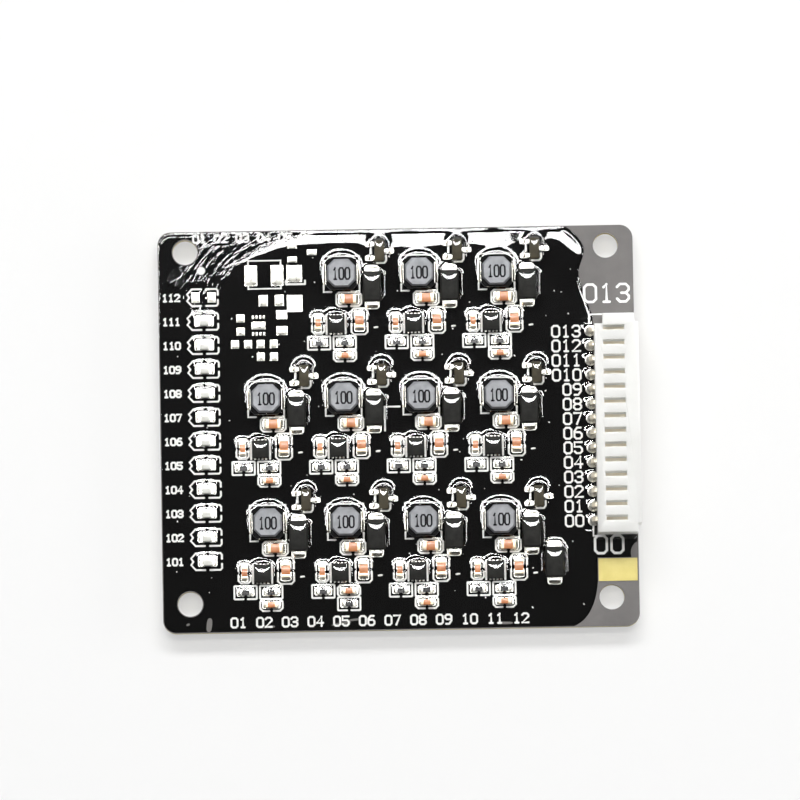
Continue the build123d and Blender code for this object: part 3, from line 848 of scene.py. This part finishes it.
def build_lands_and_solder():
    """Land under each end and lead, and the solder that climbs it."""
    lands, slopes = build_end_lands()
    # Axis that the leads point along, the lead's own share of the land's width and what is added to it,
    # how far the land's middle lies inside the lead's tip, and its length. For the slope: how far it
    # starts inside the tip, its length, its share of the land's width, and its height
    for leads, bodies, along, own, extra, inset, length, slope in (
        (diode_leads, diodes, 1, 1, 0.5, 0.62, 2.3, (0.02, 0.5, 0.8, 0.5)),
        (inductor_terminals, inductors, 0, 1, 0.2, 0.45, 1.7, (0, 0.34, 0.94, 0.42)),
        (transistor_leads, transistors, 0, 0, 0.72, -0.1, 1.25, (0.02, 0.5, 7 / 9, 0.26)),
        (converter_leads, converters, 1, 0, 0.28, 0.2, 0.46, None),
    ):
        for low, high in leads:
            centre = (low + high) / 2
            sign = math.copysign(1, (centre - nearest_middle(bodies, centre))[along])
            tip = high[along] if sign > 0 else low[along]
            width = (high - low)[1 - along] * own + extra * MM
            place = [centre.x, centre.y, BOARD_TOP]
            place[along] = tip - sign * inset * MM
            size = (width, length * MM, LAND_HEIGHT) if along else (length * MM, width, LAND_HEIGHT)
            lands.append((tuple(place), 0, size))
            if slope:
                back, run, share, height = slope
                foot = [centre.x, centre.y, SLOPE_FOOT]
                foot[along] = tip - sign * back * MM
                turn = math.atan2(sign * along, sign * (1 - along))
                slopes.append((tuple(foot), turn, (run * MM, width * share, height * MM)))
    copies_piece("soldered_lands", land_shape(), lands, "tin")
    copies_piece("solder_slopes", fillet_shape(), slopes, "slope")


def build_land_solder():
    """Low cushion of solder on each bare land."""
    spots = []
    for low, high in islands("tinned_lands"):
        centre = (low + high) / 2
        reach = (high - low) * BARE_LAND_COVER
        smaller = min(reach.x, reach.y)
        # Lands that run together count as one box, and get no cushion
        if smaller <= JOINED_LANDS:
            spots.append(((centre.x, centre.y, high.z), 0, (reach.x, reach.y, BARE_LAND_RISE * smaller)))
    copies_piece("land_solder", cushion_shape(), spots, "solder")


def build_pin_solder():
    """Round, hollow-sided joints at the header's pins on both faces."""
    spots = []
    for low, high in joints:
        centre = (low + high) / 2
        foot = (high.x - low.x) / 2
        spots.append(((centre.x, centre.y, BOARD_TOP), 0, (foot, foot, high.z - BOARD_TOP)))
        spots.append(((centre.x, centre.y, board_low.z), 0, (foot, foot, low.z - board_low.z)))
    piece = copies_piece("pin_joints", cone_shape(), spots, "solder")
    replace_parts(piece, "solder_joints")


# Film


def outer_loop(node):
    """The longest rim of a flat sheet's top face, as points in order."""
    bm = merged_copy(node)
    top = max(v.co.z for v in bm.verts)
    linked = {}
    for edge in bm.edges:
        if all(abs(v.co.z - top) < 1e-6 for v in edge.verts):
            upper = [f for f in edge.link_faces if abs(f.normal.z) > 0.9]
            if len(upper) == 1:
                a, b = edge.verts
                linked.setdefault(a, []).append(b)
                linked.setdefault(b, []).append(a)
    start = min(linked, key=lambda v: v.co.x)
    loop, last, here = [start], None, start
    while True:
        ahead = [v for v in linked[here] if v is not last]
        last, here = here, ahead[0]
        if here is start or len(loop) > len(linked):
            break
        loop.append(here)
    points = [(v.co.x, v.co.y) for v in loop]
    bm.free()
    return points


def inside(points, x, y):
    """Which of the grid's places lie inside a closed loop of points."""
    result = np.zeros(x.shape, bool)
    for (ax, ay), (bx, by) in zip(points, points[1:] + points[:1]):
        if ay != by:
            crosses = (ay > y) != (by > y)
            result ^= crosses & (x < (bx - ax) * (y - ay) / (by - ay) + ax)
    return result


def rim_distance(points, x, y):
    """Distance of each place to a closed loop of points."""
    result = np.full(x.shape, 1.0)
    for (ax, ay), (bx, by) in zip(points, points[1:] + points[:1]):
        dx, dy = bx - ax, by - ay
        length = dx * dx + dy * dy
        if length > 0:
            t = np.clip(((x - ax) * dx + (y - ay) * dy) / length, 0, 1)
            result = np.minimum(result, np.hypot(x - ax - t * dx, y - ay - t * dy))
    return result


def box_distance(box, x, y, corner=0.0):
    """Distance of each place to a box seen from above, its corners rounded."""
    low, high = box
    dx = np.maximum(np.maximum(low.x + corner - x, x - high.x + corner), 0)
    dy = np.maximum(np.maximum(low.y + corner - y, y - high.y + corner), 0)
    return np.maximum(np.hypot(dx, dy) - corner, 0)


def swell(x, y, scale, seed):
    """Slow, seeded unevenness between -1 and 1."""
    flat = [noise.noise(Vector((a * scale, b * scale, seed))) for a, b in zip(x.ravel(), y.ravel())]
    return np.array(flat).reshape(x.shape)


def hole_places():
    """Middles of the four mounting holes."""
    half_x, half_y = HOLE_SPACING[0] / 2, HOLE_SPACING[1] / 2
    return [(x, y) for x in (-half_x, half_x) for y in (-half_y, half_y)]


STRIP_CORNER = Vector((PIN_STRIP_MARGIN, PIN_STRIP_MARGIN, 0))
film_loop = outer_loop("clear_coating")
pin_strip = (
    Vector((min(b[0].x for b in joints), min(b[0].y for b in joints), 0)) - STRIP_CORNER,
    Vector((housing[0].x - 0.1 * MM, max(b[1].y for b in joints) + PIN_STRIP_MARGIN, 0)),
)


def climbing_parts():
    """Each part the film climbs: box, roundness, climb, reach of it and whether the film covers it."""
    parts = []
    for boxes, roundness, climb, reach, covered in (
        (inductors, 1.9, 0.9, 0.34, False),
        (diodes, 0.9, 0.6, 0.3, False),
        (diode_leads, 0.3, 0.4, 0.3, True),
        (transistors, 0.6, 0.75, 0.36, False),
        (transistor_leads, 0.1, 0.3, 0.25, True),
        (large_capacitors, 0.4, 0.5, 0.32, False),
        (small_capacitors, 0.3, 0.45, 0.3, False),
        (capacitor_ends, 0.2, 0.5, 0.3, False),
        (converters, 0.8, 0.55, 0.32, False),
        (resistors, 0.3, 0.25, 0.3, True),
        (resistor_ends, 0.1, 0.25, 0.3, True),
        (lights, 0.2, 0.2, 0.3, False),
        (light_ends, 0.1, 0.2, 0.3, True),
        (inductor_terminals, 0.05, 0.35, 0.3, True),
        (joints, 0.7, 0.12, 0.4, False),
    ):
        for box in boxes:
            parts.append((box, roundness * MM, climb * MM, reach * MM, covered))
    return parts


def build_film():
    """Clear film over the board: it thins out at its rim and climbs and laps over the parts."""
    xs = [p[0] for p in film_loop]
    ys = [p[1] for p in film_loop]
    columns = int((max(xs) - min(xs)) / FILM_STEP) + 1
    rows = int((max(ys) - min(ys)) / FILM_STEP) + 1
    x, y = np.meshgrid(np.linspace(min(xs), max(xs), columns), np.linspace(min(ys), max(ys), rows))
    rim = rim_distance(film_loop, x, y)
    strip = box_distance(pin_strip, x, y) <= 0
    within = inside(film_loop, x, y) | (rim < 0.02 * MM) | strip
    height = np.full(x.shape, FILM_HEIGHT)
    powers = np.zeros(x.shape)
    hidden = np.zeros(x.shape, bool)
    lapped = np.zeros(x.shape)
    step = Vector((FILM_STEP, FILM_STEP, 0))
    for box, roundness, climb, reach, covered in climbing_parts():
        gap = box_distance(box, x, y, roundness)
        powers += (climb * np.exp(-gap / reach)) ** 3
        if covered:
            top = box[1].z - BOARD_TOP + FILM_OVER_PARTS
            lapped = np.maximum(lapped, np.where(box_distance(box, x, y) <= 0, top, 0))
        else:
            hidden |= box_distance((box[0] + step, box[1] - step), x, y) <= 0
    height = np.maximum(height + powers ** (1 / 3), lapped)
    # The film runs down towards the north edge, unevenly, from a border that swings up from the west
    north = max(ys) - y
    places, depths, bands = np.array(GLARE_BORDER).T * MM
    band = np.interp(x, places, bands)
    ahead = np.interp(x, places, depths) + GLARE_WANDER * swell(x, y, 330, FILM_SEED + 5) - north
    runout = np.clip(-ahead / GLARE_RUNOUT, 0, 1)
    slope = GLARE_SLOPE * (1 + GLARE_SLOPE_CHANGE * swell(x, y, 150, FILM_SEED + 3))
    height += slope * (band - np.clip(ahead, 0, band)) * (1 - runout * runout * (3 - 2 * runout))
    unevenness = FILM_SWELL + NORTH_SWELL * np.exp(-north / NORTH_SWELL_REACH)
    height += unevenness * swell(x, y, 260, FILM_SEED)
    height *= np.where(strip, 1, np.clip(rim / FILM_RIM, 0, 1) ** 0.5)
    height = np.maximum(height, FILM_LEAST)
    for hole_x, hole_y in hole_places():
        hidden |= np.hypot(x - hole_x, y - hole_y) < HOLE_CLEARANCE
    keep = within & ~hidden
    whole = keep[:-1, :-1] & keep[1:, :-1] & keep[:-1, 1:] & keep[1:, 1:]
    west_half = np.arange(columns - 1)[None, :] < columns // 2
    for name, half in (("film_west", west_half), ("film_east", ~west_half)):
        cells = whole & half
        used = np.zeros(x.shape, bool)
        for below in (slice(None, -1), slice(1, None)):
            for left in (slice(None, -1), slice(1, None)):
                used[below, left] |= cells
        index = np.full(x.shape, -1)
        index[used] = np.arange(used.sum())
        verts = np.stack([x[used], y[used], BOARD_TOP + height[used]], 1)
        corners = (index[:-1, :-1], index[:-1, 1:], index[1:, 1:], index[1:, :-1])
        faces = np.stack([corner[cells] for corner in corners], 1)
        mesh = mesh_of(name, verts.tolist(), faces.tolist())
        mesh.materials.append(MATERIALS["film"])
        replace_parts(mesh_piece(name, mesh), "clear_coating")


def build_wet_mask():
    """Mask that looks black where the film lies on it, with the mounting holes left open."""
    bm = bmesh.new()
    loops = [film_loop]
    turns = [2 * math.pi * n / 40 for n in range(40)]
    for x, y in hole_places():
        if inside(film_loop, np.array([x]), np.array([y]))[0]:
            loops.append([
                (x + HOLE_CLEARANCE * math.cos(t), y + HOLE_CLEARANCE * math.sin(t)) for t in turns
            ])
    edges = []
    for loop in loops:
        verts = [bm.verts.new((a, b, BOARD_TOP + MASK_LIFT)) for a, b in loop]
        edges += [bm.edges.new((verts[n - 1], verts[n])) for n in range(len(verts))]
    bmesh.ops.triangle_fill(bm, use_beauty=True, edges=edges)
    low, high = pin_strip
    z = BOARD_TOP + MASK_LIFT * 0.6
    corners = ((low.x, low.y, z), (high.x, low.y, z), (high.x, high.y, z), (low.x, high.y, z))
    bm.faces.new([bm.verts.new(p) for p in corners])
    turn_faces_up(bm)
    mesh = bpy.data.meshes.new("wet_mask")
    bm.to_mesh(mesh)
    bm.free()
    mesh.materials.append(MATERIALS["wet_mask"])
    mesh_piece("wet_mask", mesh)


def build_pools():
    """Pools of film at the north ends of the diodes, the converter chips and the transistors."""
    spots = []
    # Inset from the part's north edge, half width and depth, in millimetres
    for boxes, inset, half_width, depth in (
        (diodes, 0.35, 1.05, 1.05),
        (converters, 0.2, 0.97, 0.85),
        (transistors, 0.1, 0.52, 0.9),
    ):
        for low, high in boxes:
            lean = math.radians(POOL_LEAN - POOL_LEAN_CHANGE * (high.y - board_middle.y))
            place = ((low.x + high.x) / 2, high.y - inset * MM, high.z + POOL_LIFT)
            spots.append((place, 0, (half_width * MM, depth * MM, depth * MM * math.tan(lean))))
    copies_piece("film_pools", pool_shape(), spots, "film")


def build_vias():
    """Oblong plated dot beside each converter chip."""
    spots = []
    for box in converters:
        c = middle(box)
        spots.append(((c.x + 5.45 * MM, c.y - 0.5 * MM, BOARD_TOP), 0.1, (0.34 * MM, 0.14 * MM, 0.06 * MM)))
    copies_piece("plated_dots", bead_shape(5, 16), spots, "ink")


def build_bare_patches():
    """Small patches by the south edge where the film never took, left in the board's grey, which is painted
    sheen of the dry black mask.
    """
    spots = []
    for x, y, turn, length, width in (
        (6.3, 1.1, 1.45, 1.9, 0.75), (14.0, 0.75, 0.0, 2.5, 0.4), (24.3, 1.0, 0.15, 2.7, 0.35),
        (26.1, 1.5, 0.1, 1.6, 0.3), (46.6, 0.7, 0.0, 2.2, 0.35), (3.4, 1.2, 0.4, 0.5, 0.3),
    ):
        place = (board_low.x + x * MM, board_low.y + y * MM, BOARD_TOP + MASK_LIFT)
        spots.append((place, turn, (length * MM / 2, width * MM / 2, 0.004 * MM)))
    copies_piece("bare_patches", bead_shape(4, 14), spots, "board")


def build_dust():
    """Pale specks that settled on the film."""
    chance = random.Random(DUST_SEED)
    spots = []
    for n in range(DUST_COUNT):
        x = chance.uniform(board_low.x + 1 * MM, housing[0].x - 2 * MM)
        y = chance.uniform(board_low.y + 1 * MM, board_high.y - 1 * MM)
        size = chance.uniform(*DUST_SIZE)
        place = (x, y, BOARD_TOP + FILM_HEIGHT + 0.03 * MM)
        spots.append((place, chance.uniform(0, 3), (size * chance.uniform(1, 2.2), size, 0.02 * MM)))
    copies_piece("dust", bead_shape(3, 6), spots, "ink")


# Print on the board and marks on the parts


def offset_strokes(x, y, *strokes):
    """Strokes given in millimetres from a place on the board."""
    return [[(x + a * MM, y + b * MM, INK_LEVEL) for a, b in stroke] for stroke in strokes]


def part_outlines():
    """Printed outlines round every part."""
    strokes = []
    for boxes, shape in (
        (inductors, (
            [(-2.45, 1.5), (-2.45, 2.5), (2.45, 2.5), (2.45, 1.5)],
            [(-2.45, -1.5), (-2.45, -2.4), (-1.4, -2.4)],
            [(1.3, -2.4), (2.45, -2.4), (2.45, -1.5)],
        )),
        (transistors, (
            [(-1.15, 0.42), (-1.15, -0.32)],
            [(0.9, -0.65), (0.9, -1.3), (0.65, -1.62), (-0.35, -1.62)],
        )),
        (converters, (
            [(-1.3, -1.3), (-1.3, 1.3)],
            [(1.3, -1.3), (1.3, 1.3)],
            [(1.35, 1.53), (1.37, 1.55)],
        )),
    ):
        for box in boxes:
            c = middle(box)
            strokes += offset_strokes(c.x, c.y, *shape)
    # Outlines of the chip parts: length and width as they lie and as they stand, and the corner
    for boxes, ends, flat, upright, corner in (
        (large_capacitors, capacitor_ends, (3.4, 1.9), (3.57, 2.2), 0.35),
        (small_capacitors, capacitor_ends, (3.05, 1.6), (2.75, 1.67), 0.35),
        (resistors, resistor_ends, (3.05, 1.78), (3.05, 1.78), 0.08),
    ):
        for low, high in boxes:
            c = (low + high) / 2
            way = nearest_middle(ends, c) - c
            stands = abs(way.y) > abs(way.x)
            length, width = upright if stands else flat
            shape = bracket if stands else frame_strokes
            strokes += shape(c.x, c.y, length * MM, width * MM, corner * MM)
    return strokes


def light_places():
    """Middles of the lights, with the empty place at the north end last."""
    places = [(p.x, p.y) for p in map(middle, lights)]
    south, north = min(y for x, y in places), max(y for x, y in places)
    pitch = (north - south) / (len(places) - 1)
    return places + [(places[0][0], north + pitch)]


def build_print():
    """White print on the board: outlines, numbers of the lights and the pins, rows and signs."""
    west, south = board_low.x, board_low.y
    east, north = board_high.x, board_high.y
    strokes = part_outlines()
    for x, y in light_places():
        for shape in (
            [(0.35, 1.15), (1.75, 1.15), (1.95, 0.9), (1.95, 0.35)],
            [(-0.35, 1.15), (-1.6, 1.15), (-2.25, 0.45), (-1.95, 0)],
        ):
            for way in (1, -1):
                strokes += offset_strokes(x, y, [(a, b * way) for a, b in shape])
    # The empty channel keeps its frame and its diode's box
    strokes += offset_strokes(
        west, north,
        [(12.35, -4.75), (12.35, -4.1), (16.8, -4.1), (16.8, -4.75)],
        [(12.35, -7.3), (12.35, -7.95), (16.8, -7.95), (16.8, -7.3)],
        [(17.5, -7.4), (20.1, -7.4)],
        [(17.5, -6.9), (17.5, -7.4)],
        [(20.1, -6.9), (20.1, -7.4)],
    )
    # Corners of the header's frame, north and south of it
    strokes += offset_strokes(east, housing[1].y, [(-6.15, -0.85), (-6.15, 0.3), (-0.4, 0.3)])
    strokes += offset_strokes(east, housing[0].y, [(-6.1, 1.35), (-6.1, -0.15), (-4.6, -0.15)])
    # A thin corner line between two channels
    strokes += offset_strokes(board_middle.x, board_middle.y, [(0.25, 3.07), (-1.8, 3.07), (-1.8, -0.2)])
    # Round sighting dot near the north-west hole: a tin pad, drawn in white print as a painted reflection of
    # its bright tin
    dot = offset_strokes(west, north, [(5.89, -5.35), (5.91, -5.35)])
    ink_piece("sighting_dot", dot, SIGHTING_DOT, "ink")
    ink_piece("outlines_print", strokes, INK_WIDTH, "ink")
    labels = []
    spots = sorted(light_places(), key=lambda p: -p[1])
    for n, (x, y) in enumerate(spots):
        number = str(100 + len(spots) - n)
        labels += written(number, LIGHT_LABEL_SIZE, west + 1.75 * MM, y, INK_LEVEL, 0.5)
    pin_rows = sorted(middle(b).y for b in joints)
    for n, y in reversed(list(enumerate(pin_rows))):
        labels += written("0" + str(n), PIN_LABEL_SIZE, east - 7.45 * MM, y, INK_LEVEL, 1.0)
    labels += written(SOUTH_ROW, SOUTH_ROW_SIZE, west + 9.3 * MM, south + 1.35 * MM, INK_LEVEL)
    labels += written(NORTH_ROW, NORTH_ROW_SIZE, west + 4.9 * MM, north - 0.95 * MM, INK_LEVEL)
    ink_piece("labels_print", labels, LABEL_INK_WIDTH, "ink")
    signs = written("013", SIGN_SIZE, east - 3.7 * MM, north - 9.35 * MM, INK_LEVEL, 0.5)
    signs += written("00", SIGN_SIZE, east - 4.0 * MM, south + 11.2 * MM, INK_LEVEL, 0.5)
    ink_piece("signs_print", signs, SIGN_INK_WIDTH, "ink")


def build_marks():
    """Plain digits on the inductors' tops."""
    strokes = []
    for low, high in inductors:
        x, y = (low.x + high.x) / 2, (low.y + high.y) / 2 - 0.1 * MM
        strokes += written("100", MARKING_SIZE, x, y, high.z + MARKING_LIFT, 0.5, MARKING_SQUEEZE)
    ink_piece("inductor_marks", strokes, MARKING_INK_WIDTH, "marking")


def finish_nodes():
    """Finishes of the solids that show as they are, and rounded edges where the light catches them."""
    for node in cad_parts.values():
        for n, material in enumerate(node.data.materials):
            if material and material.name in MATERIALS:
                node.data.materials[n] = MATERIALS[material.name]
    for name in node_names("diode_"):
        if name != "diode_leads":
            soften(name, 0.13 * MM, "black_mould", 3)
    for name in node_names("converter_chip_"):
        soften(name, 0.06 * MM, "black_mould")
    soften("transistors", 0.09 * MM, "brown_mould", 3)
    soften("capacitor_ends", 0.07 * MM, "tin", 3, "end_plate")
    soften("resistor_ends", 0.05 * MM, "tin", 3)
    soften("large_capacitors", 0.05 * MM, "ceramic")
    soften("small_capacitors", 0.05 * MM, "ceramic")
    soften("light_lenses", 0.1 * MM, "light_lens", 3)
    soften("connector_housing", 0.1 * MM, "housing", 3)


finish_nodes()
build_lands_and_solder()
build_land_solder()
build_pin_solder()
build_wet_mask()
build_film()
build_pools()
build_vias()
build_bare_patches()
build_dust()
build_print()
build_marks()


# Floor, light and camera


def area_light(name, elevation, azimuth, distance, width, height, radiance, diffuse):
    """Soft panel that looks at the board. Azimuth 0 is north and 90 is east."""
    lamp = bpy.data.lights.new(name, "AREA")
    lamp.shape = "RECTANGLE"
    lamp.size = width
    lamp.size_y = height
    lamp.energy = radiance * math.pi * width * height
    thing = new_object(name, lamp)
    e, a = math.radians(elevation), math.radians(azimuth)
    way = Vector((math.sin(a) * math.cos(e), math.cos(a) * math.cos(e), math.sin(e)))
    thing.location = board_middle + way * distance
    thing.rotation_euler = way.to_track_quat("Z", "Y").to_euler()
    thing.visible_diffuse = diffuse


def build_stage():
    """Floor, panels of light and a dim, even room."""
    bpy.ops.mesh.primitive_plane_add(size=2.4, location=(0, 0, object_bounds()[0].z))
    floor = bpy.context.object
    floor.name = "floor"
    floor.data.materials.append(floor_material())
    for panel in PANELS:
        area_light(*panel)
    world = bpy.data.worlds.new("room")
    world.use_nodes = True
    set_values(world.node_tree.nodes["Background"], Color=(1, 1, 1, 1), Strength=ROOM_LIGHT)
    bpy.context.scene.world = world
    bpy.context.scene.view_settings.view_transform = "Standard"


def build_camera():
    """Camera with the photograph's tilt and roll, and the board's place in its frame."""
    camera = bpy.data.cameras.new("camera")
    camera.sensor_width = SENSOR_WIDTH
    camera.lens = PIXELS_PER_METRE * CAMERA_DISTANCE * SENSOR_WIDTH / IMAGE_PIXELS
    camera.clip_start = 0.01
    thing = new_object("camera", camera)
    roll = math.radians(CAMERA_ROLL)
    tilt = math.radians(CAMERA_ELEVATION)
    up = Vector((math.sin(roll), math.cos(roll), 0))
    right = up.cross(Vector((0, 0, 1))).normalized()
    # The photograph's middle lies this far from the board's, along its own axes
    across = (IMAGE_PIXELS / 2 - BOARD_MIDDLE_PIXEL[0]) / PIXELS_PER_METRE
    above = (BOARD_MIDDLE_PIXEL[1] - IMAGE_PIXELS / 2) / PIXELS_PER_METRE
    aim = Vector((board_middle.x, board_middle.y, BOARD_TOP)) + right * across + up * above
    back = (-up * math.cos(tilt) + Vector((0, 0, 1)) * math.sin(tilt)).normalized()
    upward = back.cross(right).normalized()
    turn = Matrix((right, upward, back)).transposed()
    thing.matrix_world = Matrix.Translation(aim + back * CAMERA_DISTANCE) @ turn.to_4x4()
    bpy.context.scene.camera = thing


build_stage()
build_camera()
